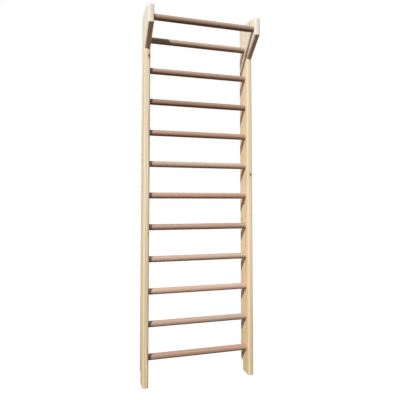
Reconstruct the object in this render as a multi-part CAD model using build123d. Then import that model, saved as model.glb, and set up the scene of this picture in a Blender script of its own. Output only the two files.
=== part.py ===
"""Wall bars: a tall two-sided gymnastics ladder that is fixed to a wall.

Two pine uprights hold round beech rungs in blind sockets. A bracket is glued and dowelled
to the front of each upright's top and carries one more bar, which overhangs the others.

Frame: +X along the rungs, +Y towards the wall, +Z up. The origin is on the floor, in the
middle of the footprint. Sizes are in millimetres. The left side is the one at -X, as seen
by a person who faces the wall.
"""

import os
from math import sqrt

from build123d import *

# Rungs
rung_count = 11
rung_spacing = 187.0
lowest_rung_height = 158.0
rung_diameter = 36.0
rung_end_chamfer = 1.5
rung_setback = 43.0  # front edge of the upright to the rungs' axes
clear_width = 612.0  # between the uprights

# Uprights
upright_thickness = 34.0
upright_depth = 120.0
front_edge_radius = 10.0
back_edge_radius = 2.5

# Notch that lets the foot stand over a skirting board
notch_depth = 28.0
notch_height = 54.0
notch_rise = 10.0  # how much higher the notch is at the wall than at its inner corner

# Head: the top of the upright and the bracket that overhangs it
head_rise = 176.0  # highest point of the top edge above the top rung's axis
top_edge_radius = 690.0
top_edge_crest = 75.0  # highest point behind the upright's front edge
bracket_reach = 132.0
bracket_nose_height = 38.0  # bottom of the bracket's front face above the top rung's axis
bracket_root_drop = 67.0  # where the underside meets the upright, below the top rung's axis
bracket_corner_radius = 8.0

# Top bar
top_bar_diameter = 36.0
top_bar_lift = 41.0  # axis above the bottom of the bracket's front face
top_bar_cover = 12.0  # wood left in front of the bar

# Sockets that hold the bars
socket_depth = 22.0
socket_clearance = 0.1  # on the radius, filled with glue
socket_end_gap = 1.0

# Dowels between each bracket and its upright
bracket_dowel_count = 3
dowel_diameter = 10.0
dowel_grip = 28.0  # length in each of the two pieces
dowel_clearance = 0.1
dowel_end_gap = 2.0
dowel_margin = 12.0  # wood left between the end dowels and the rung socket or top edge

# Brads that stop the bars from turning
brad_diameter = 1.6
brad_head_diameter = 3.0
brad_head_height = 0.8
brad_sink = 1.0
brad_clearance = 0.05
rung_brad_length = 45.0
top_bar_brad_length = 32.0

# Threaded inserts for the wall fixings, in the back edges of the uprights
insert_bore_diameter = 8.0
insert_outer_diameter = 12.0
insert_length = 20.0
insert_rim_diameter = 15.0
insert_rim_height = 1.5
insert_clearance = 0.1
bolt_run_out = 6.0

# Places that follow from the sizes above
footprint_depth = bracket_reach + upright_depth
bracket_front_y = -footprint_depth / 2
upright_front_y = bracket_front_y + bracket_reach
upright_back_y = footprint_depth / 2
inner_face_x = clear_width / 2
outer_face_x = inner_face_x + upright_thickness
middle_x = (inner_face_x + outer_face_x) / 2
rung_y = upright_front_y + rung_setback
rung_heights = [lowest_rung_height + i * rung_spacing for i in range(rung_count)]
top_rung_height = rung_heights[-1]
overall_height = top_rung_height + head_rise
nose_height = top_rung_height + bracket_nose_height
root_height = top_rung_height - bracket_root_drop
top_bar_y = bracket_front_y + top_bar_cover + top_bar_diameter / 2
top_bar_height = nose_height + top_bar_lift
socket_floor_x = inner_face_x + socket_depth
brad_x = inner_face_x + socket_depth / 2
lower_insert_height = (rung_heights[0] + rung_heights[1]) / 2
upper_insert_height = (rung_heights[-2] + rung_heights[-1]) / 2
insert_heights = [lower_insert_height, upper_insert_height]


def top_edge_height(y):
    """Height of the arched top edge at one depth."""
    offset = y - (upright_front_y + top_edge_crest)
    return overall_height - top_edge_radius + sqrt(top_edge_radius**2 - offset**2)


def rod_x(diameter, x_from, x_to, y, z):
    """Round bar along X."""
    start = Plane(origin=(x_from, y, z), x_dir=(0, 1, 0), z_dir=(1, 0, 0))
    return extrude(start * Circle(diameter / 2), x_to - x_from)


def rod_y(diameter, y_from, y_to, x, z):
    """Round bar along Y."""
    start = Plane(origin=(x, y_from, z), x_dir=(0, 0, 1), z_dir=(0, 1, 0))
    return extrude(start * Circle(diameter / 2), y_to - y_from)


def side_outline():
    """Outline of one upright with its bracket, seen along X."""
    crest_y = upright_front_y + top_edge_crest
    notch_y = upright_back_y - notch_depth
    corners = Polyline(
        (upright_back_y, top_edge_height(upright_back_y)),
        (upright_back_y, notch_height + notch_rise),
        (notch_y, notch_height),
        (notch_y, 0),
        (upright_front_y, 0),
        (upright_front_y, root_height),
        (bracket_front_y, nose_height),
        (bracket_front_y, top_edge_height(bracket_front_y)),
    )
    arch = ThreePointArc(
        (bracket_front_y, top_edge_height(bracket_front_y)),
        (crest_y, overall_height),
        (upright_back_y, top_edge_height(upright_back_y)),
    )
    outline = make_face(corners + arch)
    front_corner = outline.vertices().sort_by(Axis.X).group_by(Axis.X)[0].sort_by(Axis.Y)[-1]
    return fillet(front_corner, bracket_corner_radius)


def is_on_side_face(edge):
    """True for an edge that lies wholly in the board's inner or outer face."""
    box = edge.bounding_box()
    return box.max.X < inner_face_x + 0.01 or box.min.X > outer_face_x - 0.01


def is_front_edge(edge):
    """True for the long arrises that get the large round: front, underside, nose and top."""
    centre = edge.center(CenterOf.BOUNDING_BOX)
    at_front = centre.Y < upright_front_y + 0.01 and centre.Z > 1
    at_top = centre.Z > notch_height + notch_rise and centre.Y < upright_back_y - 0.01
    return is_on_side_face(edge) and (at_front or at_top)


def is_back_edge(edge):
    """True for the arrises of the back edge and of the notch."""
    box = edge.bounding_box()
    at_back = box.min.Y > upright_back_y - notch_depth - 0.01
    return is_on_side_face(edge) and at_back and box.size.Z > 1


def side_blank():
    """Upright and bracket as one board with its edges rounded, at +X."""
    inner_face = Plane((inner_face_x, 0, 0), x_dir=(0, 1, 0), z_dir=(1, 0, 0))
    board = extrude(inner_face * side_outline(), upright_thickness)
    board = fillet(board.edges().filter_by(is_front_edge), front_edge_radius)
    return fillet(board.edges().filter_by(is_back_edge), back_edge_radius)


def dowel_heights():
    """Heights of the dowels, from just above the rung socket to just under the top edge."""
    edge_distance = dowel_margin + dowel_diameter / 2
    lowest = top_rung_height + rung_diameter / 2 + edge_distance
    highest = top_edge_height(upright_front_y) - front_edge_radius - edge_distance
    step = (highest - lowest) / (bracket_dowel_count - 1)
    return [lowest + i * step for i in range(bracket_dowel_count)]


def dowel_holes():
    """Both halves of the dowel holes across the glue line."""
    reach = dowel_grip + dowel_end_gap
    diameter = dowel_diameter + 2 * dowel_clearance
    front, back = upright_front_y - reach, upright_front_y + reach
    return [rod_y(diameter, front, back, middle_x, z) for z in dowel_heights()]


def brad(front_y, length, z):
    """One brad at +X with its head towards the front."""
    head_back = front_y + brad_sink + brad_head_height
    head = rod_y(brad_head_diameter, front_y + brad_sink, head_back, brad_x, z)
    return head + rod_y(brad_diameter, head_back, front_y + brad_sink + length, brad_x, z)


def brad_hole(front_y, length, z):
    """Hole that a brad leaves in the wood, open at the front."""
    head_back = front_y + brad_sink + brad_head_height + brad_clearance
    end = front_y + brad_sink + length + brad_clearance
    mouth = rod_y(brad_head_diameter + 2 * brad_clearance, front_y - 1, head_back, brad_x, z)
    return mouth + rod_y(brad_diameter + 2 * brad_clearance, front_y, end, brad_x, z)


def bar_socket(diameter, y, z):
    """Blind socket for one end of a bar, open at the upright's inner face."""
    return rod_x(diameter + 2 * socket_clearance, inner_face_x - 1, socket_floor_x, y, z)


def threaded_insert(z):
    """Sleeve with a rim that lies flush with the upright's back edge."""
    rim_front = upright_back_y - insert_rim_height
    inner_end = upright_back_y - insert_length
    sleeve = rod_y(insert_outer_diameter, inner_end, rim_front, middle_x, z)
    sleeve += rod_y(insert_rim_diameter, rim_front, upright_back_y, middle_x, z)
    return sleeve - rod_y(insert_bore_diameter, inner_end - 1, upright_back_y + 1, middle_x, z)


def insert_hole(z):
    """Stepped hole for a threaded insert, with room behind it for the end of the bolt."""
    rim_front = upright_back_y - insert_rim_height - insert_clearance
    hole_end = upright_back_y - insert_length - bolt_run_out
    outer = insert_outer_diameter + 2 * insert_clearance
    rim = insert_rim_diameter + 2 * insert_clearance
    hole = rod_y(outer, hole_end, rim_front, middle_x, z)
    return hole + rod_y(rim, rim_front, upright_back_y + 1, middle_x, z)


def upright(blank):
    """The upright at +X: the board behind the glue line, with its sockets and holes."""
    board = split(blank, bisect_by=Plane.XZ.offset(-upright_front_y), keep=Keep.BOTTOM)
    for z in rung_heights:
        board -= bar_socket(rung_diameter, rung_y, z)
        board -= brad_hole(upright_front_y, rung_brad_length, z)
    for hole in dowel_holes():
        board -= hole
    for z in insert_heights:
        board -= insert_hole(z)
    return board


def bracket(blank):
    """The bracket at +X: the board in front of the glue line, with the top bar's socket."""
    board = split(blank, bisect_by=Plane.XZ.offset(-upright_front_y), keep=Keep.TOP)
    board -= bar_socket(top_bar_diameter, top_bar_y, top_bar_height)
    board -= brad_hole(bracket_front_y, top_bar_brad_length, top_bar_height)
    for hole in dowel_holes():
        board -= hole
    return board


def bar(diameter, y, z, front_y, brad_length):
    """A round bar that spans both sockets, with chamfered ends and a brad hole in each."""
    end_x = socket_floor_x - socket_end_gap
    body = rod_x(diameter, -end_x, end_x, y, z)
    body = chamfer(body.edges().filter_by(GeomType.CIRCLE), rung_end_chamfer)
    hole = brad_hole(front_y, brad_length, z)
    return body - hole - hole.mirror(Plane.YZ)


def bracket_dowels():
    """The dowels between one bracket and its upright, at +X."""
    front, back = upright_front_y - dowel_grip, upright_front_y + dowel_grip
    dowels = []
    for z in dowel_heights():
        dowel = rod_y(dowel_diameter, front, back, middle_x, z)
        dowels.append(chamfer(dowel.edges().filter_by(GeomType.CIRCLE), rung_end_chamfer))
    return dowels


def both_sides(name, solids):
    """A left and a right node from solids that are at +X."""
    mirrored = [solid.mirror(Plane.YZ) for solid in solids]
    return {f"left_{name}": mirrored, f"right_{name}": list(solids)}


def rung(z):
    """One rung, pinned from the uprights' front edges."""
    return bar(rung_diameter, rung_y, z, upright_front_y, rung_brad_length)


def top_bar():
    """The overhanging bar, pinned from the brackets' front faces."""
    return bar(top_bar_diameter, top_bar_y, top_bar_height, bracket_front_y, top_bar_brad_length)


def make_nodes():
    """Every node of the wall bars, as node name to list of solids."""
    blank = side_blank()
    rung_brads = [brad(upright_front_y, rung_brad_length, z) for z in rung_heights]
    top_bar_brad = brad(bracket_front_y, top_bar_brad_length, top_bar_height)
    nodes = {}
    nodes.update(both_sides("upright", [upright(blank)]))
    nodes.update(both_sides("bracket", [bracket(blank)]))
    nodes.update(both_sides("bracket_dowels", bracket_dowels()))
    for number, z in enumerate(rung_heights, start=1):
        nodes[f"rung_{number:02d}"] = [rung(z)]
    nodes["top_bar"] = [top_bar()]
    nodes.update(both_sides("rung_brads", rung_brads))
    nodes.update(both_sides("top_bar_brad", [top_bar_brad]))
    nodes.update(both_sides("wall_inserts", [threaded_insert(z) for z in insert_heights]))
    return nodes


os.makedirs("parts", exist_ok=True)
for node, shapes in make_nodes().items():
    solids = [solid for shape in shapes for solid in shape.solids()]
    part = solids[0] if len(solids) == 1 else Compound(solids)
    export_step(part, f"parts/{node}.step")
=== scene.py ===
import math

import bmesh
import bpy
from bpy.props import FloatProperty, FloatVectorProperty, IntProperty, PointerProperty
from bpy.types import Operator, Panel, PropertyGroup
from mathutils import Matrix, Vector


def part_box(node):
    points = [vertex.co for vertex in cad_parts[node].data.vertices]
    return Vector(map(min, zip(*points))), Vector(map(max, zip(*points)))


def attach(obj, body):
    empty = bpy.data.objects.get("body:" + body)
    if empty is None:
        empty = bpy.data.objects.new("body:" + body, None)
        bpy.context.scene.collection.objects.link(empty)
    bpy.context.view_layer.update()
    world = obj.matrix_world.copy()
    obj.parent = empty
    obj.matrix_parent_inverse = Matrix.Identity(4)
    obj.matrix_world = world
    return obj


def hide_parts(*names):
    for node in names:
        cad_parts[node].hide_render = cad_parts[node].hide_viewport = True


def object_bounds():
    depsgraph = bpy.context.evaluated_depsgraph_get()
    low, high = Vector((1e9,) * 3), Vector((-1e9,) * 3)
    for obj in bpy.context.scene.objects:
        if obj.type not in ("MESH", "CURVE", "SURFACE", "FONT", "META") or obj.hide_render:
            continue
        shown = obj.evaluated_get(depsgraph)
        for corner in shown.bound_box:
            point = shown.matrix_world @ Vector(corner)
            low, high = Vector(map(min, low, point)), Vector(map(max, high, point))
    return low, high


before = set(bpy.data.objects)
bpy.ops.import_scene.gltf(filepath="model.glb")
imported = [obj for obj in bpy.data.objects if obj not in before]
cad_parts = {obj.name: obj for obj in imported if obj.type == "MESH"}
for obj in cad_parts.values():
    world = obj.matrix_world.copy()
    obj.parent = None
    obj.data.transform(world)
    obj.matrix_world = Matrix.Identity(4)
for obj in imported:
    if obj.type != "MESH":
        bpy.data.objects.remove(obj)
cad_low, cad_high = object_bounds()

bl_info = {
    "name": "Wall Bars",
    "version": (1, 0, 0),
    "blender": (4, 5, 0),
    "location": "View3D > Sidebar > Wall Bars",
    "description": "Finishes a set of wall bars in pine and beech, with its hardware and a studio",
    "category": "Object",
}

BODY = "root"
SIDES = ("left", "right")

# How tan and how light each bar is. Beech bars in one set come from different trees.
BAR_TONES = {
    "top_bar": (0.65, 0.79),
    "rung_11": (0.96, 0.93),
    "rung_10": (0.26, 0.86),
    "rung_09": (0.06, 0.74),
    "rung_08": (0.10, 0.90),
    "rung_07": (0.84, 1.02),
    "rung_06": (0.17, 0.96),
    "rung_05": (0.42, 0.89),
    "rung_04": (0.76, 0.98),
    "rung_03": (0.38, 1.11),
    "rung_02": (0.59, 0.91),
    "rung_01": (0.04, 0.84),
}

# Each bar is cut from its own place in the log: how far its pith lies from its axis, and how much
# further round and along the log each next bar was taken.
PITH_DISTANCE = 0.045
PITH_TURN = 2.4
PITH_SHIFT = 1.7

# Lengths in metres that belong to how wood and metal look, and not to one piece. Pairs are where an
# effect fades from and to: heartwood past its edge, scuffs up from the floor, and the lacquer that
# hands have polished out from the middle of a bar.
PINE_WAVER = 0.020
BEECH_WAVER = 0.012
HEART_FADE = (-0.015, 0.010)
SCUFFED = (0.05, 0.40)
HANDLED = (0.12, 0.30)
TOOL_MARK_DEPTH = 0.00005
FILLER_GRAIN_DEPTH = 0.0001

# Shares of one year's growth: where the late wood starts, where it is full and where it ends
LATE_START = 0.30
LATE_FULL = 0.88
LATE_END = 0.93

# How a ring strays: its fine ripple beside its slow drift, and the years that the weather shifts it by
RIPPLE_SHARE = 0.11
WEATHER_YEARS = 0.9

# A knot: its length in metres, how thick its point is beside its head, and, in shares of its radius,
# where its wood and its stain fade out and how far off and how much it pushes the rings aside
KNOT_LENGTH = 0.03
KNOT_POINT = 0.02
KNOT_EDGE = (0.70, 1.10)
STAIN_EDGE = (0.90, 3.20)
PUSH_REACH = 4.0
PUSH_SIZE = 1.8

# Noise seldom leaves these ranges, so ramps run between their ends.
BROAD_SPAN = (0.30, 0.70)
FINE_SPAN = (0.25, 0.75)
MARK_SPAN = (0.20, 0.80)

# How strongly each effect shows
LINE_SHARE = 0.62
# How far the ring lines follow the painted sheen towards the pale tone
LINE_PALE_AND_SHEEN = 0.5
STAIN_SHARE = 0.45
KNOT_SHARE = 0.9
SCUFF_DARKENING = -0.14
LATE_RELIEF = 0.45
FIBRE_RELIEF = 0.35
FILM_RELIEF = 0.2


# ---------------------------------------------------------------- settings


def colour(name, description, default):
    """A colour setting, in linear values."""
    return FloatVectorProperty(
        name=name, description=description, subtype="COLOR", size=3, min=0, max=1, default=default
    )


def length(name, description, default):
    """A length setting, in metres."""
    return FloatProperty(name=name, description=description, unit="LENGTH", min=0, default=default)


def share(name, description, default):
    """A setting that goes from none to full."""
    return FloatProperty(
        name=name, description=description, subtype="FACTOR", min=0, max=1, default=default
    )


def strength(name, description, default):
    """How strong a light is."""
    return FloatProperty(name=name, description=description, min=0, default=default)


def angle(name, description, degrees):
    """An angle setting, given here in degrees."""
    return FloatProperty(
        name=name, description=description, subtype="ANGLE", default=math.radians(degrees)
    )


class PineSettings(PropertyGroup):
    """The wood and the lacquer of the uprights and brackets."""

    early_wood: colour("Early Wood", "Pale spring growth between the ring lines", (0.755, 0.668, 0.491))
    late_wood: colour("Late Wood", "Tan summer growth that makes the ring lines", (0.540, 0.385, 0.200))
    heartwood: colour("Heartwood", "Orange growth near the middle of the tree", (0.790, 0.640, 0.405))
    knot: colour("Knot", "Colour of a sound knot", (0.15, 0.10, 0.06))
    # Painted sheen: towards their top the uprights go to this pale, cool tone in place of the light's
    # sheen there; the brackets take it all over, as their paler wood and the same painted sheen.
    pale_wood_and_sheen: colour("Pale Wood and Sheen", "Pale tone of the boards towards the top", (0.800, 0.770, 0.660))
    end_grain: colour("End Grain", "Tint of sawn ends, where the lacquer soaks in", (1.0, 1.0, 0.96))
    ring_width: length("Ring Width", "Growth in one year", 0.0036)
    # Painted shade: towards the floor the wood darkens and warms to this tint, where the light falls
    # off.
    low_shade: colour("Low Shade", "Tint of the wood at the floor", (0.84, 0.81, 0.74))
    low_shade_height: length("Low Shade Height", "Height that the soiling fades out at", 1.1)
    # How far the uprights' top goes to that pale tone, and how near the top it starts: painted sheen.
    pale_and_sheen: share("Pale and Sheen", "How pale the top of the uprights has turned", 0.85)
    pale_and_sheen_rise: FloatProperty(
        name="Bleaching Rise",
        description="How close to the top the uprights start to pale",
        min=0,
        default=7,
    )
    # How far the brackets go to the pale tone: their paler wood and painted sheen.
    bracket_bleach: share("Bracket Bleaching", "How pale the brackets have turned", 1.0)
    roughness: share("Roughness", "Roughness of the matt lacquer", 0.75)
    gloss: share("Gloss", "Strength of the lacquer's reflections", 0.05)
    bump_depth: length("Bump Depth", "Height of the raised grain", 0.0003)


class BeechSettings(PropertyGroup):
    """The wood and the lacquer of the bars."""

    pink: colour("Pink", "Steamed beech at its pinkest", (0.450, 0.279, 0.194))
    tan: colour("Tan", "Beech at its tannest", (0.450, 0.340, 0.252))
    fleck: colour("Fleck", "Short dark ray flecks along the grain", (0.22, 0.10, 0.06))
    ring_width: length("Ring Width", "Growth in one year", 0.0024)
    roughness: share("Roughness", "Roughness of the thin lacquer on the bars", 0.55)
    gloss: share("Gloss", "Strength of the lacquer's reflections", 0.2)
    bump_depth: length("Bump Depth", "Height of the raised grain", 0.0002)


class HardwareSettings(PropertyGroup):
    """The brads, the filler over them, the dowels and the wall inserts."""

    wire: colour("Wire", "Bright drawn wire of the brads", (0.56, 0.56, 0.57))
    zinc: colour("Zinc", "Zinc plating of the wall inserts", (0.62, 0.61, 0.56))
    filler: colour("Filler", "Wood filler over the brad heads", (0.74, 0.58, 0.39))
    filler_dish: length("Filler Dish", "How far the filler has shrunk in its middle", 0.00015)
    filler_rim: length("Filler Rim", "Width of the filler's edge round its dish", 0.0004)
    flute_depth: length("Flute Depth", "Depth of the glue grooves in the dowels", 0.0004)
    flutes: IntProperty(name="Flutes", description="Glue grooves round each dowel", min=8, default=20)
    dowel_chamfer: length("Dowel Chamfer", "Chamfer at both ends of each dowel", 0.0012)
    rim_width: length("Rim Width", "Diameter of the wall inserts' rim", 0.015)
    rim_thickness: length("Rim Thickness", "Thickness of the wall inserts' rim", 0.0015)
    insert_edge: length("Insert Edge", "Chamfer round the wall inserts' rim and tip", 0.0003)
    insert_width: length("Insert Width", "Outer diameter of the wall inserts' wood thread", 0.012)
    wood_pitch: length("Wood Pitch", "Pitch of the wall inserts' wood thread", 0.003)
    wood_ridge: length("Wood Ridge", "Height of the wood thread", 0.0009)
    bore: length("Bore", "Diameter inside the wall inserts' machine thread", 0.008)
    bore_pitch: length("Bore Pitch", "Pitch of the machine thread", 0.00125)
    bore_ridge: length("Bore Ridge", "Height of the machine thread", 0.0005)
    key_width: length("Key Width", "Width across the flats of the inserts' key socket", 0.0087)
    key_depth: length("Key Depth", "Depth of the inserts' key socket", 0.004)


class StudioSettings(PropertyGroup):
    """The camera, the light and the floor."""

    camera_place: FloatVectorProperty(
        name="Camera Place",
        description="Where the camera stands",
        subtype="TRANSLATION",
        unit="LENGTH",
        default=(-0.6725, -2.3203, 1.0565),
    )
    camera_turn: angle("Camera Turn", "How far to the right the camera turns from the wall", 16.086)
    camera_rise: angle("Camera Rise", "How far the camera looks up", 2.94)
    lens: FloatProperty(
        name="Lens", description="Focal length", unit="CAMERA", subtype="DISTANCE_CAMERA", default=36.21
    )
    lens_drop: share("Lens Drop", "How far below the lens's axis the view is framed", 0.0475)
    key_turn: angle("Key Turn", "How far to the left of the front the main light stands", 42.0)
    key_rise: angle("Key Rise", "How high the main light stands", 38.8)
    key_spread: angle("Key Spread", "Width of the main light, which softens its shadows", 0.8)
    key_strength: strength("Key Strength", "Strength of the main light", 4.25)
    key_colour: colour("Key Colour", "Colour of the main light", (0.97, 0.98, 1.0))
    back_turn: angle("Back Turn", "How far round to the left the weak light behind stands", 170.0)
    back_rise: angle("Back Rise", "How high the weak light behind stands", 20.0)
    back_strength: strength("Back Strength", "Strength of the weak light behind", 0.6)
    sky_left: colour("Sky on the Left", "Soft light from the upper left", (0.62, 0.43, 0.32))
    sky_right: colour("Sky on the Right", "Soft light from the upper right", (0.49, 0.51, 0.51))
    zenith: colour("Zenith", "Soft light from straight above", (0.45, 0.62, 0.90))
    zenith_start: share("Zenith Start", "How high the light from straight above begins", 0.3)
    ground: colour("Ground", "Soft light from below", (0.12, 0.065, 0.032))
    horizon_blur: share("Horizon Blur", "How softly the lights of the sky and the ground meet", 0.2)
    backdrop: colour("Backdrop", "Colour behind everything", (1.0, 1.0, 1.0))
    floor_size: length("Floor Size", "Width of the floor", 80.0)
    floor_colour: colour("Floor Colour", "Colour of the floor", (0.02, 0.02, 0.02))
    floor_glow: strength("Floor Glow", "Light that the floor gives off, which keeps it pale", 1.0)


class WallBarsSettings(PropertyGroup):
    """All the settings of the wall bars."""

    pine: PointerProperty(type=PineSettings)
    beech: PointerProperty(type=BeechSettings)
    hardware: PointerProperty(type=HardwareSettings)
    studio: PointerProperty(type=StudioSettings)


# ---------------------------------------------------------------- shader helpers


def opaque(rgb):
    """A colour setting as the four values that a colour socket takes."""
    return (*rgb, 1.0)


class Wiring:
    """Adds nodes to one shader tree and joins them up."""

    COLUMNS = 8
    COLUMN_WIDTH = 200
    ROW_HEIGHT = 260
    MIX_FACTOR, MIX_FIRST, MIX_SECOND, MIX_RESULT = 0, 6, 7, 2

    def __init__(self, tree):
        self.tree = tree

    def join(self, value, socket):
        """Feeds a socket from another socket, or sets it to a plain value."""
        if isinstance(value, bpy.types.NodeSocket):
            self.tree.links.new(value, socket)
        else:
            socket.default_value = value

    def add(self, kind, inputs=None, **settings):
        """Adds a node with its settings, and feeds the inputs that are named."""
        row, column = divmod(len(self.tree.nodes), self.COLUMNS)
        node = self.tree.nodes.new(kind)
        node.location = (column * self.COLUMN_WIDTH, -row * self.ROW_HEIGHT)
        for name, value in settings.items():
            setattr(node, name, value)
        for name, value in (inputs or {}).items():
            self.join(value, node.inputs[name])
        return node

    def operate(self, kind, operation, values):
        """A math node that works on the values in their order: its outputs."""
        node = self.add(kind, operation=operation)
        for value, socket in zip(values, node.inputs):
            self.join(value, socket)
        return node.outputs

    def math(self, operation, *values):
        """An operation on numbers."""
        return self.operate("ShaderNodeMath", operation, values)["Value"]

    def vector(self, operation, *values):
        """An operation on vectors that gives a vector."""
        return self.operate("ShaderNodeVectorMath", operation, values)["Vector"]

    def measure(self, operation, *values):
        """An operation on vectors that gives a number."""
        return self.operate("ShaderNodeVectorMath", operation, values)["Value"]

    def scaled(self, vector, factor):
        """A vector or colour multiplied by a number."""
        inputs = {"Vector": vector, "Scale": factor}
        return self.add("ShaderNodeVectorMath", inputs, operation="SCALE").outputs["Vector"]

    def noise(self, vector, scale, detail=2.0, roughness=0.5):
        """Cloudy noise from 0 to 1; scale is how many clouds to the metre along each axis."""
        spread = self.vector("MULTIPLY", vector, scale)
        inputs = {"Vector": spread, "Scale": 1.0, "Detail": detail, "Roughness": roughness}
        return self.add("ShaderNodeTexNoise", inputs).outputs["Fac"]

    def ramp(self, value, low, high, start=0.0, end=1.0):
        """Goes smoothly from start to end while value goes from low to high."""
        inputs = {"Value": value, "From Min": low, "From Max": high, "To Min": start, "To Max": end}
        return self.add("ShaderNodeMapRange", inputs, interpolation_type="SMOOTHSTEP").outputs["Result"]

    def mix(self, second_share, first, second, blend="MIX"):
        """Mixes two colours. A Mix node has a set of sockets for each kind of value."""
        inputs = {self.MIX_FACTOR: second_share, self.MIX_FIRST: first, self.MIX_SECOND: second}
        node = self.add("ShaderNodeMix", inputs, data_type="RGBA", blend_type=blend)
        return node.outputs[self.MIX_RESULT]

    def bump(self, height, strength_share, depth):
        """A normal from a height map."""
        inputs = {"Height": height, "Strength": strength_share, "Distance": depth}
        return self.add("ShaderNodeBump", inputs).outputs["Normal"]

    def group(self, name, **inputs):
        """Places a shared group; its inputs are given in lower case, with underscores for spaces."""
        node = self.add("ShaderNodeGroup", node_tree=shared_group(name))
        for socket in node.inputs:
            key = socket.name.lower().replace(" ", "_")
            if key in inputs:
                self.join(inputs[key], socket)
        return node.outputs


def start_group(name, inputs, outputs):
    """An empty shader group with named sockets: its wiring, its inputs and its outputs."""
    tree = bpy.data.node_groups.new(name, "ShaderNodeTree")
    for label, kind in inputs.items():
        tree.interface.new_socket(name=label, in_out="INPUT", socket_type=f"NodeSocket{kind}")
    for label in outputs:
        tree.interface.new_socket(name=label, in_out="OUTPUT", socket_type="NodeSocketFloat")
    wiring = Wiring(tree)
    return wiring, wiring.add("NodeGroupInput").outputs, wiring.add("NodeGroupOutput").inputs


def start_material(name):
    """A material with its Principled shader: the material, its wiring and the shader's inputs."""
    material = bpy.data.materials.new(name)
    material.use_nodes = True
    shader = next(node for node in material.node_tree.nodes if node.type == "BSDF_PRINCIPLED")
    return material, Wiring(material.node_tree), shader.inputs


# ---------------------------------------------------------------- shared effects


def build_growth_rings(name):
    """Year rings round a pith that lies along Z. Each year ends in a narrow, sharp-edged line."""
    wiring, given, result = start_group(
        name,
        {"Vector": "Vector", "Ring Width": "Float", "Waver": "Float", "Push": "Float"},
        ("Late Wood", "Distance"),
    )
    drift = wiring.noise(given["Vector"], (7.0, 7.0, 0.75))
    ripple = wiring.noise(given["Vector"], (70.0, 70.0, 5.0), detail=3.0)
    drift = wiring.math("SUBTRACT", drift, 0.5)
    ripple = wiring.math("SUBTRACT", ripple, 0.5)
    bend = wiring.math("MULTIPLY_ADD", ripple, RIPPLE_SHARE, drift)
    bend = wiring.math("MULTIPLY_ADD", bend, given["Waver"], given["Push"])
    across = wiring.vector("MULTIPLY", given["Vector"], (1.0, 1.0, 0.0))
    distance = wiring.math("ADD", wiring.measure("LENGTH", across), bend)
    years = wiring.math("DIVIDE", distance, given["Ring Width"])
    weather = wiring.add("ShaderNodeTexNoise", {"W": years, "Scale": 0.5}, noise_dimensions="1D")
    years = wiring.math("MULTIPLY_ADD", weather.outputs["Fac"], WEATHER_YEARS, years)
    season = wiring.math("FRACT", years)
    rise = wiring.ramp(season, LATE_START, LATE_FULL)
    fall = wiring.ramp(season, LATE_END, 1.0, 1.0, 0.0)
    wiring.join(wiring.math("MULTIPLY", rise, fall), result["Late Wood"])
    wiring.join(distance, result["Distance"])


def build_wood_fibre(name):
    """Streaks along Z: fine ones as wide as fibre bundles, and broad ones as wide as a finger."""
    wiring, given, result = start_group(name, {"Vector": "Vector"}, ("Fine", "Broad"))
    fine = wiring.noise(given["Vector"], (950.0, 950.0, 16.0), detail=3.0, roughness=0.6)
    broad = wiring.noise(given["Vector"], (75.0, 75.0, 1.3), detail=3.0, roughness=0.55)
    wiring.join(fine, result["Fine"])
    wiring.join(broad, result["Broad"])


def build_knot(name):
    """A branch that tapers inwards: its wood, the stained wood round it, and the rings it bends."""
    wiring, given, result = start_group(
        name,
        {"Vector": "Vector", "Centre": "Vector", "Along": "Vector", "Radius": "Float"},
        ("Knot", "Stain", "Push"),
    )
    offset = wiring.vector("SUBTRACT", given["Vector"], given["Centre"])
    reach = wiring.measure("DOT_PRODUCT", offset, given["Along"])
    along = wiring.scaled(given["Along"], reach)
    taper = wiring.ramp(reach, -KNOT_LENGTH, 0.0, KNOT_POINT, 1.0)
    radius = wiring.math("MULTIPLY", given["Radius"], taper)
    beside = wiring.vector("SUBTRACT", offset, along)
    beside = wiring.vector("MULTIPLY", beside, (1.0, 1.0, 0.6))
    smooth = wiring.math("DIVIDE", wiring.measure("LENGTH", beside), radius)
    ragged = wiring.noise(offset, (170.0, 170.0, 170.0))
    ragged = wiring.math("ADD", smooth, wiring.math("MULTIPLY_ADD", ragged, 0.8, -0.4))
    wiring.join(wiring.ramp(ragged, *KNOT_EDGE, 1.0, 0.0), result["Knot"])
    wiring.join(wiring.ramp(ragged, *STAIN_EDGE, 1.0, 0.0), result["Stain"])
    push = wiring.math("MULTIPLY", radius, wiring.ramp(smooth, 0.0, PUSH_REACH, PUSH_SIZE, 0.0))
    wiring.join(push, result["Push"])


def build_end_grain(name):
    """How squarely a surface cuts across the grain, from 0 on a long side to 1 on a sawn end."""
    wiring, given, result = start_group(name, {"Normal": "Vector", "Grain": "Vector"}, ("Mask",))
    facing = wiring.math("ABSOLUTE", wiring.measure("DOT_PRODUCT", given["Normal"], given["Grain"]))
    wiring.join(wiring.ramp(facing, 0.35, 0.95), result["Mask"])


def build_lacquer(name):
    """A thin sprayed film: uneven roughness and a faint orange peel."""
    wiring, given, result = start_group(
        name, {"Vector": "Vector", "Base": "Float", "Wear": "Float"}, ("Roughness", "Height")
    )
    cloud = wiring.noise(given["Vector"], (22.0, 22.0, 22.0), detail=3.0)
    peel = wiring.noise(given["Vector"], (420.0, 420.0, 420.0), detail=1.0)
    uneven = wiring.math("MULTIPLY_ADD", cloud, 0.16, -0.08)
    rough = wiring.math("ADD", given["Base"], uneven)
    wiring.join(wiring.math("MULTIPLY_ADD", given["Wear"], 0.22, rough), result["Roughness"])
    wiring.join(peel, result["Height"])


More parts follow.
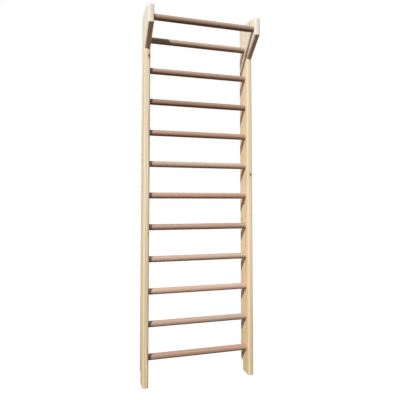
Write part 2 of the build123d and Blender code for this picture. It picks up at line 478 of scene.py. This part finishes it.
def build_scuffs(name):
    """Small dents and scratches, more of them as the amount rises."""
    wiring, given, result = start_group(name, {"Vector": "Vector", "Amount": "Float"}, ("Mask",))
    marks = wiring.noise(given["Vector"], (310.0, 310.0, 120.0))
    patches = wiring.noise(given["Vector"], (14.0, 14.0, 14.0))
    marks = wiring.math("MULTIPLY_ADD", patches, 0.2, marks)
    threshold = wiring.math("MULTIPLY_ADD", given["Amount"], -0.12, 0.80)
    mask = wiring.ramp(marks, threshold, wiring.math("ADD", threshold, 0.08))
    wiring.join(mask, result["Mask"])


SHARED_EFFECTS = {
    "Growth Rings": build_growth_rings,
    "Wood Fibre": build_wood_fibre,
    "Knot": build_knot,
    "End Grain": build_end_grain,
    "Lacquer": build_lacquer,
    "Scuffs": build_scuffs,
}


def shared_group(name):
    """The shader group of this name, built the first time it is asked for."""
    if name not in bpy.data.node_groups:
        SHARED_EFFECTS[name](name)
    return bpy.data.node_groups[name]


# ---------------------------------------------------------------- materials


def grain_height(wiring, late_wood, fibre, film):
    """Height map of raised late wood, fibres and the lacquer over them."""
    height = wiring.math("MULTIPLY", late_wood, LATE_RELIEF)
    height = wiring.math("MULTIPLY_ADD", fibre, FIBRE_RELIEF, height)
    return wiring.math("MULTIPLY_ADD", film, FILM_RELIEF, height)


def pine(settings, name, pith, lean, heart_reach, pale_and_sheen, pale_and_sheen_rise, knots=()):
    """Lacquered pine with its grain along Z.

    pith is where the middle of the tree stood beside the board, lean how the board was turned to it,
    heart_reach how far the heartwood goes, the next two values how far the board goes to the pale tone
    at the very top and how near the top that starts (a painted sheen of the light, and on the brackets
    their paler wood as well), and knots are (place, outward direction, radius).
    """
    material, wiring, shader = start_material(name)
    space = wiring.add("ShaderNodeTexCoord").outputs
    from_pith = wiring.vector("SUBTRACT", space["Object"], pith)
    log = wiring.add("ShaderNodeMapping", {"Vector": from_pith, "Rotation": lean}).outputs["Vector"]
    push, knot_wood, stain = 0.0, 0.0, 0.0
    for place, direction, radius in knots:
        along = Vector(direction).normalized()
        knot = wiring.group("Knot", vector=space["Object"], centre=place, along=along, radius=radius)
        push = wiring.math("ADD", push, knot["Push"])
        knot_wood = wiring.math("MAXIMUM", knot_wood, knot["Knot"])
        stain = wiring.math("MAXIMUM", stain, knot["Stain"])
    rings = wiring.group(
        "Growth Rings", vector=log, ring_width=settings.ring_width, waver=PINE_WAVER, push=push
    )
    late = rings["Late Wood"]
    fibre = wiring.group("Wood Fibre", vector=log)
    end = wiring.group("End Grain", normal=space["Normal"], grain=(0.0, 0.0, 1.0))["Mask"]
    height = wiring.add("ShaderNodeSeparateXYZ", {"Vector": space["Object"]}).outputs["Z"]
    height_share = wiring.math("DIVIDE", height, cad_high[2])
    scuffed = wiring.ramp(height, *SCUFFED, 1.0, 0.0)
    scuffs = wiring.group("Scuffs", vector=space["Object"], amount=scuffed)["Mask"]

    heart_edge = (heart_reach + fade for fade in HEART_FADE)
    heart = wiring.ramp(rings["Distance"], *heart_edge, 1.0, 0.0)
    wood = wiring.mix(heart, opaque(settings.early_wood), opaque(settings.heartwood))
    # Painted sheen: towards the top the wood and its ring lines go to the pale tone, in place of the
    # light's sheen there.
    pale_and_sheen = wiring.math("MULTIPLY", pale_and_sheen, wiring.math("POWER", height_share, pale_and_sheen_rise))
    wood = wiring.mix(pale_and_sheen, wood, opaque(settings.pale_wood_and_sheen))
    line_pale_and_sheen = wiring.math("MULTIPLY", pale_and_sheen, LINE_PALE_AND_SHEEN)
    lines = wiring.mix(line_pale_and_sheen, opaque(settings.late_wood), opaque(settings.pale_wood_and_sheen))
    wood = wiring.mix(wiring.math("MULTIPLY", late, LINE_SHARE), wood, lines)
    wood = wiring.scaled(wood, wiring.ramp(fibre["Broad"], *BROAD_SPAN, 0.91, 1.06))
    wood = wiring.scaled(wood, wiring.ramp(fibre["Fine"], *FINE_SPAN, 0.95, 1.04))
    wood = wiring.mix(end, wood, opaque(settings.end_grain), "MULTIPLY")
    # Painted shade: darker and warmer towards the floor, where the light falls off.
    low_shade_share = wiring.ramp(height, 0.0, settings.low_shade_height, 1.0, 0.0)
    wood = wiring.mix(low_shade_share, wood, opaque(settings.low_shade), "MULTIPLY")
    wood = wiring.mix(wiring.math("MULTIPLY", stain, STAIN_SHARE), wood, opaque(settings.late_wood))
    wood = wiring.mix(wiring.math("MULTIPLY", knot_wood, KNOT_SHARE), wood, opaque(settings.knot))
    wood = wiring.scaled(wood, wiring.math("MULTIPLY_ADD", scuffs, SCUFF_DARKENING, 1.0))
    wiring.join(wood, shader["Base Color"])

    wear = wiring.math("MAXIMUM", end, scuffs)
    film = wiring.group("Lacquer", vector=space["Object"], base=settings.roughness, wear=wear)
    wiring.join(film["Roughness"], shader["Roughness"])
    relief = grain_height(wiring, late, fibre["Fine"], film["Height"])
    wiring.join(wiring.bump(relief, 0.35, settings.bump_depth), shader["Normal"])
    shader["Specular IOR Level"].default_value = settings.gloss
    return material


def beech(settings, name, axis, pith, tan, lightness):
    """Lacquered beech with its grain along X, turned round an axis.

    pith is where the middle of the tree stood beside the axis; tan and lightness are the bar's tone.
    """
    material, wiring, shader = start_material(name)
    space = wiring.add("ShaderNodeTexCoord").outputs
    from_axis = wiring.vector("SUBTRACT", space["Object"], axis)
    turned = {"Vector": from_axis, "Location": pith, "Rotation": (0.0, -math.pi / 2, 0.0)}
    log = wiring.add("ShaderNodeMapping", turned).outputs["Vector"]
    rings = wiring.group("Growth Rings", vector=log, ring_width=settings.ring_width, waver=BEECH_WAVER)
    late = rings["Late Wood"]
    fibre = wiring.group("Wood Fibre", vector=log)
    end = wiring.group("End Grain", normal=space["Normal"], grain=(1.0, 0.0, 0.0))["Mask"]

    wood = tuple(
        lightness * (pink * (1 - tan) + pale * tan) for pink, pale in zip(settings.pink, settings.tan)
    )
    wood = wiring.scaled(wood, wiring.math("MULTIPLY_ADD", late, -0.14, 1.04))
    wood = wiring.scaled(wood, wiring.ramp(fibre["Broad"], *BROAD_SPAN, 0.91, 1.08))
    wood = wiring.scaled(wood, wiring.ramp(fibre["Fine"], *FINE_SPAN, 0.95, 1.04))
    rays = wiring.noise(log, (1500.0, 1500.0, 260.0), detail=1.0)
    wood = wiring.mix(wiring.ramp(rays, 0.60, 0.70, 0.0, 0.5), wood, opaque(settings.fleck))
    wood = wiring.scaled(wood, wiring.math("MULTIPLY_ADD", end, -0.3, 1.0))
    wiring.join(wood, shader["Base Color"])

    from_middle = wiring.add("ShaderNodeSeparateXYZ", {"Vector": space["Object"]}).outputs["X"]
    handled = wiring.ramp(wiring.math("ABSOLUTE", from_middle), *HANDLED, -0.35, 0.0)
    film = wiring.group("Lacquer", vector=space["Object"], base=settings.roughness, wear=handled)
    wiring.join(film["Roughness"], shader["Roughness"])
    relief = grain_height(wiring, late, fibre["Fine"], film["Height"])
    wiring.join(wiring.bump(relief, 0.3, settings.bump_depth), shader["Normal"])
    shader["Specular IOR Level"].default_value = settings.gloss
    return material


def dowel_beech(settings):
    """Raw beech of the dowels, with its grain along Y."""
    material, wiring, shader = start_material("dowel_beech")
    space = wiring.add("ShaderNodeTexCoord").outputs
    turned = {"Vector": space["Object"], "Rotation": (math.pi / 2, 0.0, 0.0)}
    log = wiring.add("ShaderNodeMapping", turned).outputs["Vector"]
    fibre = wiring.group("Wood Fibre", vector=log)
    end = wiring.group("End Grain", normal=space["Normal"], grain=(0.0, 1.0, 0.0))["Mask"]
    wood = wiring.scaled(tuple(settings.tan), wiring.ramp(fibre["Broad"], *BROAD_SPAN, 0.95, 1.15))
    wood = wiring.scaled(wood, wiring.ramp(fibre["Fine"], *FINE_SPAN, 0.90, 1.08))
    wood = wiring.scaled(wood, wiring.math("MULTIPLY_ADD", end, -0.25, 1.0))
    wiring.join(wood, shader["Base Color"])
    wiring.join(wiring.ramp(fibre["Fine"], *MARK_SPAN, 0.62, 0.8), shader["Roughness"])
    wiring.join(wiring.bump(fibre["Fine"], 0.4, settings.bump_depth), shader["Normal"])
    return material


def metal(name, rgb, roughness, marks):
    """Drawn or plated metal; marks is how many tool marks there are to the metre along each axis."""
    material, wiring, shader = start_material(name)
    place = wiring.add("ShaderNodeTexCoord").outputs["Object"]
    lines = wiring.noise(place, marks)
    stains = wiring.noise(place, (300.0, 300.0, 300.0))
    plate = wiring.scaled(tuple(rgb), wiring.ramp(stains, *BROAD_SPAN, 0.84, 1.06))
    wiring.join(plate, shader["Base Color"])
    wiring.join(wiring.ramp(lines, *MARK_SPAN, roughness - 0.08, roughness + 0.10), shader["Roughness"])
    wiring.join(wiring.bump(lines, 0.3, TOOL_MARK_DEPTH), shader["Normal"])
    shader["Metallic"].default_value = 1.0
    return material


def filler_paste(settings):
    """Wood filler: even, matt and slightly grainy."""
    material, wiring, shader = start_material("filler")
    place = wiring.add("ShaderNodeTexCoord").outputs["Object"]
    grains = wiring.noise(place, (2600.0, 2600.0, 2600.0), detail=3.0)
    paste = wiring.scaled(tuple(settings.filler), wiring.ramp(grains, *BROAD_SPAN, 0.90, 1.06))
    wiring.join(paste, shader["Base Color"])
    wiring.join(wiring.ramp(grains, *MARK_SPAN, 0.55, 0.75), shader["Roughness"])
    wiring.join(wiring.bump(grains, 0.3, FILLER_GRAIN_DEPTH), shader["Normal"])
    return material


def dress(node, material):
    """Gives a CAD node its finished material."""
    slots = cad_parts[node].data.materials
    slots.clear()
    slots.append(material)


# ---------------------------------------------------------------- new pieces

# Sides of the round shapes, and of one flute or one turn
ROUND = 48
THREAD_SEGMENTS = 24
SPOT_SEGMENTS = 16
FLUTE_SEGMENTS = 4
HEXAGON = 6

# Points closer than this are made one, and edges that turn more than this stay crisp.
TOUCHING = 1e-6
SHARP_ANGLE = math.radians(30)

# A thread's ridge in section: shares of the pitch along the screw and of its height out from the root
RIDGE_SECTION = ((0.0, -0.1), (0.4, 1.0), (0.5, 1.0), (0.9, -0.1))

# Turns a shape that stands on Z so that it points out of the wall or into it
OUT_OF_WALL = Matrix.Rotation(math.pi / 2, 4, "X")
INTO_WALL = Matrix.Rotation(-math.pi / 2, 4, "X")


def solids_of(node):
    """(low, high) corners of each separate solid of a CAD node, from the lowest to the highest."""
    shape = bmesh.new()
    shape.from_mesh(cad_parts[node].data)
    bmesh.ops.remove_doubles(shape, verts=shape.verts, dist=TOUCHING)
    waiting = set(shape.verts)
    boxes = []
    while waiting:
        solid = set()
        reached = [waiting.pop()]
        while reached:
            vertex = reached.pop()
            solid.add(vertex)
            beyond = {edge.other_vert(vertex) for edge in vertex.link_edges} & waiting
            waiting -= beyond
            reached.extend(beyond)
        low, high = (Vector(pick(v.co[axis] for v in solid) for axis in range(3)) for pick in (min, max))
        boxes.append((low, high))
    shape.free()
    return sorted(boxes, key=lambda box: box[0].z)


def on_axis(low, high, y):
    """The point at depth y on the axis of a round solid that lies along Y, from its box."""
    return Vector(((low.x + high.x) / 2, y, (low.z + high.z) / 2))


def add_shape(shape, make, place, turn, *sizes):
    """Makes a shape round Z from height 0, turns it, moves it to its place and adds it to a piece."""
    part = bmesh.new()
    make(part, *sizes)
    part.transform(Matrix.Translation(place) @ turn)
    mesh = bpy.data.meshes.new("part")
    part.to_mesh(mesh)
    part.free()
    shape.from_mesh(mesh)
    bpy.data.meshes.remove(mesh)


def raise_face(shape, face, height):
    """Extrudes a face straight up and returns the face on top."""
    grown = bmesh.ops.extrude_face_region(shape, geom=[face])["geom"]
    risen = [item for item in grown if isinstance(item, bmesh.types.BMVert)]
    bmesh.ops.translate(shape, verts=risen, vec=(0, 0, height))
    return next(item for item in grown if isinstance(item, bmesh.types.BMFace))


def fluted_dowel(shape, radius, height, flutes, flute_depth, chamfer):
    """A dowel with straight glue grooves and chamfered ends."""
    sides = flutes * FLUTE_SEGMENTS
    made = bmesh.ops.create_circle(shape, cap_ends=True, segments=sides, radius=radius)
    for vertex in made["verts"][::FLUTE_SEGMENTS]:
        vertex.co *= 1 - flute_depth / radius
    bottom = made["verts"][0].link_faces[0]
    top = raise_face(shape, bottom, height)
    rims = [*bottom.edges, *top.edges]
    bmesh.ops.bevel(
        shape, geom=rims, offset=chamfer, offset_type="OFFSET", segments=1, profile=0.5,
        affect="EDGES", material=-1,
    )


def filler_spot(shape, radius, height, dish, rim):
    """A plug of filler over a brad head, dished in its middle."""
    made = bmesh.ops.create_circle(shape, cap_ends=True, segments=SPOT_SEGMENTS, radius=radius)
    top = raise_face(shape, made["verts"][0].link_faces[0], height)
    bmesh.ops.inset_region(shape, faces=[top], thickness=rim, depth=-dish, use_even_offset=True)


def cut_loop(shape, radius, height, sides=ROUND):
    """A closed loop round Z. One with few sides is cut up, so that it joins the round ones evenly."""
    count = len(shape.edges)
    level = Matrix.Translation((0, 0, height))
    bmesh.ops.create_circle(shape, segments=sides, radius=radius, matrix=level)
    if sides < ROUND:
        bmesh.ops.subdivide_edges(shape, edges=list(shape.edges)[count:], cuts=ROUND // sides - 1)
    return list(shape.edges)[count:]


def screw_ridge(shape, root_radius, ridge, pitch, start, end):
    """A thread's ridge round Z between two heights; a ridge below zero points inwards."""
    turns = (end - start) / pitch - 1
    steps = round(turns * THREAD_SEGMENTS)
    corners = [
        shape.verts.new((root_radius + out * ridge, 0, start + along * pitch))
        for along, out in RIDGE_SECTION
    ]
    face = shape.faces.new(corners)
    bmesh.ops.spin(
        shape, geom=[face, *face.edges, *face.verts], cent=(0, 0, 0), axis=(0, 0, 1),
        dvec=(0, 0, pitch * turns / steps), angle=2 * math.pi * turns, steps=steps,
    )


def wall_insert(shape, height, settings):
    """A threaded insert, from its rim inwards, with a key socket and a machine thread."""
    edge = settings.insert_edge
    rim = settings.rim_width / 2
    core = settings.insert_width / 2 - settings.wood_ridge
    bore = settings.bore / 2 + settings.bore_ridge
    key = settings.key_width / 2 / math.cos(math.pi / HEXAGON)
    loops = [
        cut_loop(shape, rim - edge, 0),
        cut_loop(shape, rim, edge),
        cut_loop(shape, rim, settings.rim_thickness),
        cut_loop(shape, core, settings.rim_thickness),
        cut_loop(shape, core, height - 2 * edge),
        cut_loop(shape, core - edge, height),
        cut_loop(shape, bore, height),
        cut_loop(shape, bore, settings.key_depth + edge),
        cut_loop(shape, bore - edge, settings.key_depth),
        cut_loop(shape, key, settings.key_depth, sides=HEXAGON),
        cut_loop(shape, key, edge, sides=HEXAGON),
        cut_loop(shape, key + edge, 0, sides=HEXAGON),
    ]
    for first, second in zip(loops, loops[1:] + loops[:1]):
        bmesh.ops.bridge_loops(shape, edges=first + second)
    inner_end = height - edge
    screw_ridge(
        shape, core, settings.wood_ridge, settings.wood_pitch, settings.rim_thickness, inner_end
    )
    screw_ridge(
        shape, bore, -settings.bore_ridge, settings.bore_pitch, settings.key_depth + edge, inner_end
    )


def add_piece(name, shape, material, slot, *stands_for):
    """Makes a bmesh a piece that rides on the object, in place of the CAD nodes that are named."""
    bmesh.ops.remove_doubles(shape, verts=shape.verts, dist=TOUCHING)
    bmesh.ops.recalc_face_normals(shape, faces=shape.faces)
    mesh = bpy.data.meshes.new(name)
    shape.to_mesh(mesh)
    shape.free()
    mesh.shade_smooth()
    mesh.set_sharp_from_angle(angle=SHARP_ANGLE)
    mesh.materials.append(material)
    piece = bpy.data.objects.new(name, mesh)
    bpy.context.scene.collection.objects.link(piece)
    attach(piece, BODY)
    if stands_for:
        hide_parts(*stands_for)


# ---------------------------------------------------------------- operators


class WALLBARS_OT_uprights(Operator):
    """Finish the two upright boards in lacquered pine"""

    bl_idname = "wall_bars.uprights"
    bl_label = "Uprights"

    def execute(self, context):
        settings = context.scene.wall_bars.pine
        # Painted sheen towards the top of the uprights
        pale_and_sheen = (settings.pale_and_sheen, settings.pale_and_sheen_rise)
        low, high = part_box("left_upright")
        inner, front = high.x, low.y
        # Partly a knot, partly painted shade: this dark mark sits on the shaded inner arris just under
        # the bracket.
        knots = [((inner - 0.004, front + 0.002, 1.919), (0.5, -1.0, 0.05), 0.0095)]
        pith = (low.x - 0.018, high.y + 0.020, 0)
        lean = (0.004, 0.006, 0)
        wood = pine(settings, "pine_left_upright", pith, lean, 0.115, *pale_and_sheen, knots)
        dress("left_upright", wood)
        low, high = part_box("right_upright")
        inner, outer, front = low.x, high.x, low.y
        knots = [
            # Partly knots, partly painted shade: this dark mark lies on the top bar's shadow, and the
            # one at 1.047 m in a bar's shadow.
            ((inner, front + 0.005, 1.980), (-1.0, -0.3, 0.05), 0.006),
            ((outer - 0.012, front, 1.225), (0.2, -1.0, 0.0), 0.0055),
            ((outer - 0.003, front + 0.004, 0.973), (0.8, -1.0, 0.0), 0.004),
            ((inner, front + 0.055, 1.047), (-1.0, -0.2, 0.1), 0.006),
            ((inner, front + 0.097, 0.942), (-1.0, -0.2, 0.1), 0.005),
        ]
        pith = (inner - 0.030, high.y - 0.030, 0)
        lean = (-0.005, 0.004, 0)
        wood = pine(settings, "pine_right_upright", pith, lean, 0.085, *pale_and_sheen, knots)
        dress("right_upright", wood)
        return {"FINISHED"}


class WALLBARS_OT_brackets(Operator):
    """Finish the two brackets that carry the top bar in lacquered pine"""

    bl_idname = "wall_bars.brackets"
    bl_label = "Brackets"

    def execute(self, context):
        settings = context.scene.wall_bars.pine
        for side in SIDES:
            low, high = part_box(f"{side}_bracket")
            if side == "left":
                knots = []
                pith = (low.x - 0.060, high.y + 0.040, 0)
            else:
                knots = [((low.x, low.y + 0.084, 2.163), (-1.0, -0.2, 0.0), 0.003)]
                pith = (high.x + 0.045, low.y - 0.070, 0)
            lean = (0.012, -0.010, 0)
            # The whole bracket goes to the pale tone: its paler wood and painted sheen.
            pale_and_sheen = (settings.bracket_bleach, 0.0)
            wood = pine(settings, f"pine_{side}_bracket", pith, lean, 0.030, *pale_and_sheen, knots)
            dress(f"{side}_bracket", wood)
        return {"FINISHED"}


class WALLBARS_OT_bars(Operator):
    """Finish the rungs and the top bar in lacquered beech, each from its own length of wood"""

    bl_idname = "wall_bars.bars"
    bl_label = "Bars"

    def execute(self, context):
        settings = context.scene.wall_bars.beech
        for number, (name, (tan, lightness)) in enumerate(sorted(BAR_TONES.items())):
            low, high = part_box(name)
            axis = (low + high) / 2
            turn = PITH_TURN * number
            pith = (PITH_DISTANCE * math.cos(turn), PITH_DISTANCE * math.sin(turn), PITH_SHIFT * number)
            dress(name, beech(settings, f"beech_{name}", axis, pith, tan, lightness))
        return {"FINISHED"}


class WALLBARS_OT_brads(Operator):
    """Finish the brads that pin the bars, and fill the wood over their heads"""

    bl_idname = "wall_bars.brads"
    bl_label = "Brads"

    def execute(self, context):
        settings = context.scene.wall_bars.hardware
        wire = metal("brad_wire", settings.wire, 0.30, (1800.0, 60.0, 1800.0))
        paste = filler_paste(settings)
        for side in SIDES:
            shape = bmesh.new()
            for node, board in ((f"{side}_rung_brads", "upright"), (f"{side}_top_bar_brad", "bracket")):
                dress(node, wire)
                board_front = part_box(f"{side}_{board}")[0].y
                for low, high in solids_of(node):
                    radius = (high.z - low.z) / 2
                    add_shape(
                        shape, filler_spot, on_axis(low, high, low.y), OUT_OF_WALL,
                        radius, low.y - board_front, settings.filler_dish, settings.filler_rim,
                    )
            add_piece(f"{side}_filler_spots", shape, paste, "pine")
        return {"FINISHED"}


class WALLBARS_OT_dowels(Operator):
    """Replace the plain bracket dowels with fluted ones"""

    bl_idname = "wall_bars.dowels"
    bl_label = "Dowels"

    def execute(self, context):
        settings = context.scene.wall_bars.hardware
        wood = dowel_beech(context.scene.wall_bars.beech)
        for side in SIDES:
            node = f"{side}_bracket_dowels"
            shape = bmesh.new()
            for low, high in solids_of(node):
                radius = (high.z - low.z) / 2
                add_shape(
                    shape, fluted_dowel, on_axis(low, high, low.y), INTO_WALL, radius, high.y - low.y,
                    settings.flutes, settings.flute_depth, settings.dowel_chamfer,
                )
            add_piece(f"{side}_fluted_dowels", shape, wood, "beech_dowel", node)
        return {"FINISHED"}


class WALLBARS_OT_inserts(Operator):
    """Replace the plain wall inserts with threaded ones that have a key socket"""

    bl_idname = "wall_bars.inserts"
    bl_label = "Wall Inserts"

    def execute(self, context):
        settings = context.scene.wall_bars.hardware
        zinc = metal("zinc_plating", settings.zinc, 0.34, (900.0, 200.0, 900.0))
        for side in SIDES:
            node = f"{side}_wall_inserts"
            shape = bmesh.new()
            for low, high in solids_of(node):
                rim = on_axis(low, high, high.y)
                add_shape(shape, wall_insert, rim, OUT_OF_WALL, high.y - low.y, settings)
            add_piece(f"{side}_threaded_inserts", shape, zinc, "zinc_insert", node)
        return {"FINISHED"}


def add_sun(name, turn, rise, power, spread, rgb):
    """A light that comes from far away; turn is measured from the front towards the left."""
    lamp = bpy.data.lights.new(name, "SUN")
    lamp.angle = spread
    lamp.energy = power
    lamp.color = rgb
    sun = bpy.data.objects.new(name, lamp)
    sun.rotation_euler = (math.pi / 2 - rise, 0, -turn)
    bpy.context.scene.collection.objects.link(sun)


class WALLBARS_OT_studio(Operator):
    """Set up the floor, the light and the camera"""

    bl_idname = "wall_bars.studio"
    bl_label = "Studio"

    def execute(self, context):
        settings = context.scene.wall_bars.studio
        context.scene.view_settings.view_transform = "Standard"
        self.add_camera(context.scene, settings)
        self.add_light(context.scene, settings)
        self.add_floor(context.scene, settings)
        return {"FINISHED"}

    def add_camera(self, scene, settings):
        """The camera, to the left of the wall bars and at about half their height."""
        optics = bpy.data.cameras.new("camera")
        optics.lens = settings.lens
        optics.shift_y = -settings.lens_drop
        camera = bpy.data.objects.new("camera", optics)
        camera.location = settings.camera_place
        camera.rotation_euler = (math.pi / 2 + settings.camera_rise, 0, -settings.camera_turn)
        scene.collection.objects.link(camera)
        scene.camera = camera

    def add_light(self, scene, settings):
        """Two suns and soft light from all round. The camera itself sees a plain backdrop."""
        look = (settings.key_spread, settings.key_colour)
        add_sun("key", settings.key_turn, settings.key_rise, settings.key_strength, *look)
        add_sun("back", settings.back_turn, settings.back_rise, settings.back_strength, *look)
        world = bpy.data.worlds.new("studio")
        world.use_nodes = True
        scene.world = world
        wiring = Wiring(world.node_tree)
        shader = next(node for node in world.node_tree.nodes if node.type == "BACKGROUND")
        direction = wiring.add("ShaderNodeTexCoord").outputs["Generated"]
        toward = wiring.add("ShaderNodeSeparateXYZ", {"Vector": direction}).outputs
        blur = settings.horizon_blur
        rightness, height = (wiring.ramp(toward[axis], -blur, blur) for axis in "XZ")
        sky = wiring.mix(rightness, opaque(settings.sky_left), opaque(settings.sky_right))
        overhead = wiring.ramp(toward["Z"], settings.zenith_start, 1.0)
        sky = wiring.mix(overhead, sky, opaque(settings.zenith))
        light = wiring.mix(height, opaque(settings.ground), sky)
        seen = wiring.add("ShaderNodeLightPath").outputs["Is Camera Ray"]
        wiring.join(wiring.mix(seen, light, opaque(settings.backdrop)), shader.inputs["Color"])

    def add_floor(self, scene, settings):
        """A matt floor that glows as pale as the backdrop and lights nothing."""
        shape = bmesh.new()
        bmesh.ops.create_grid(shape, x_segments=1, y_segments=1, size=settings.floor_size / 2)
        mesh = bpy.data.meshes.new("floor")
        shape.to_mesh(mesh)
        shape.free()
        material, _, shader = start_material("floor")
        shader["Base Color"].default_value = opaque(settings.floor_colour)
        shader["Roughness"].default_value = 1.0
        shader["Specular IOR Level"].default_value = 0.0
        shader["Emission Color"].default_value = opaque((1.0, 1.0, 1.0))
        shader["Emission Strength"].default_value = settings.floor_glow
        mesh.materials.append(material)
        floor = bpy.data.objects.new("floor", mesh)
        floor.visible_diffuse = False
        floor.visible_glossy = False
        scene.collection.objects.link(floor)


class WALLBARS_PT_panel(Panel):
    """The steps and all the settings, in the sidebar."""

    bl_label = "Wall Bars"
    bl_space_type = "VIEW_3D"
    bl_region_type = "UI"
    bl_category = "Wall Bars"

    def draw(self, context):
        for operator in STEPS:
            self.layout.operator(operator.bl_idname)
        for group in ("pine", "beech", "hardware", "studio"):
            box = self.layout.box()
            box.label(text=group.capitalize())
            settings = getattr(context.scene.wall_bars, group)
            for name in settings.__annotations__:
                box.prop(settings, name)


STEPS = (
    WALLBARS_OT_uprights,
    WALLBARS_OT_brackets,
    WALLBARS_OT_bars,
    WALLBARS_OT_brads,
    WALLBARS_OT_dowels,
    WALLBARS_OT_inserts,
    WALLBARS_OT_studio,
)
SETTINGS = (PineSettings, BeechSettings, HardwareSettings, StudioSettings, WallBarsSettings)


def register():
    for kind in (*SETTINGS, *STEPS, WALLBARS_PT_panel):
        bpy.utils.register_class(kind)
    bpy.types.Scene.wall_bars = PointerProperty(type=WallBarsSettings)


def unregister():
    del bpy.types.Scene.wall_bars
    for kind in reversed((*SETTINGS, *STEPS, WALLBARS_PT_panel)):
        bpy.utils.unregister_class(kind)


def main():
    register()
    bpy.ops.wall_bars.uprights()
    bpy.ops.wall_bars.brackets()
    bpy.ops.wall_bars.bars()
    bpy.ops.wall_bars.brads()
    bpy.ops.wall_bars.dowels()
    bpy.ops.wall_bars.inserts()
    bpy.ops.wall_bars.studio()


if __name__ == "__main__":
    main()
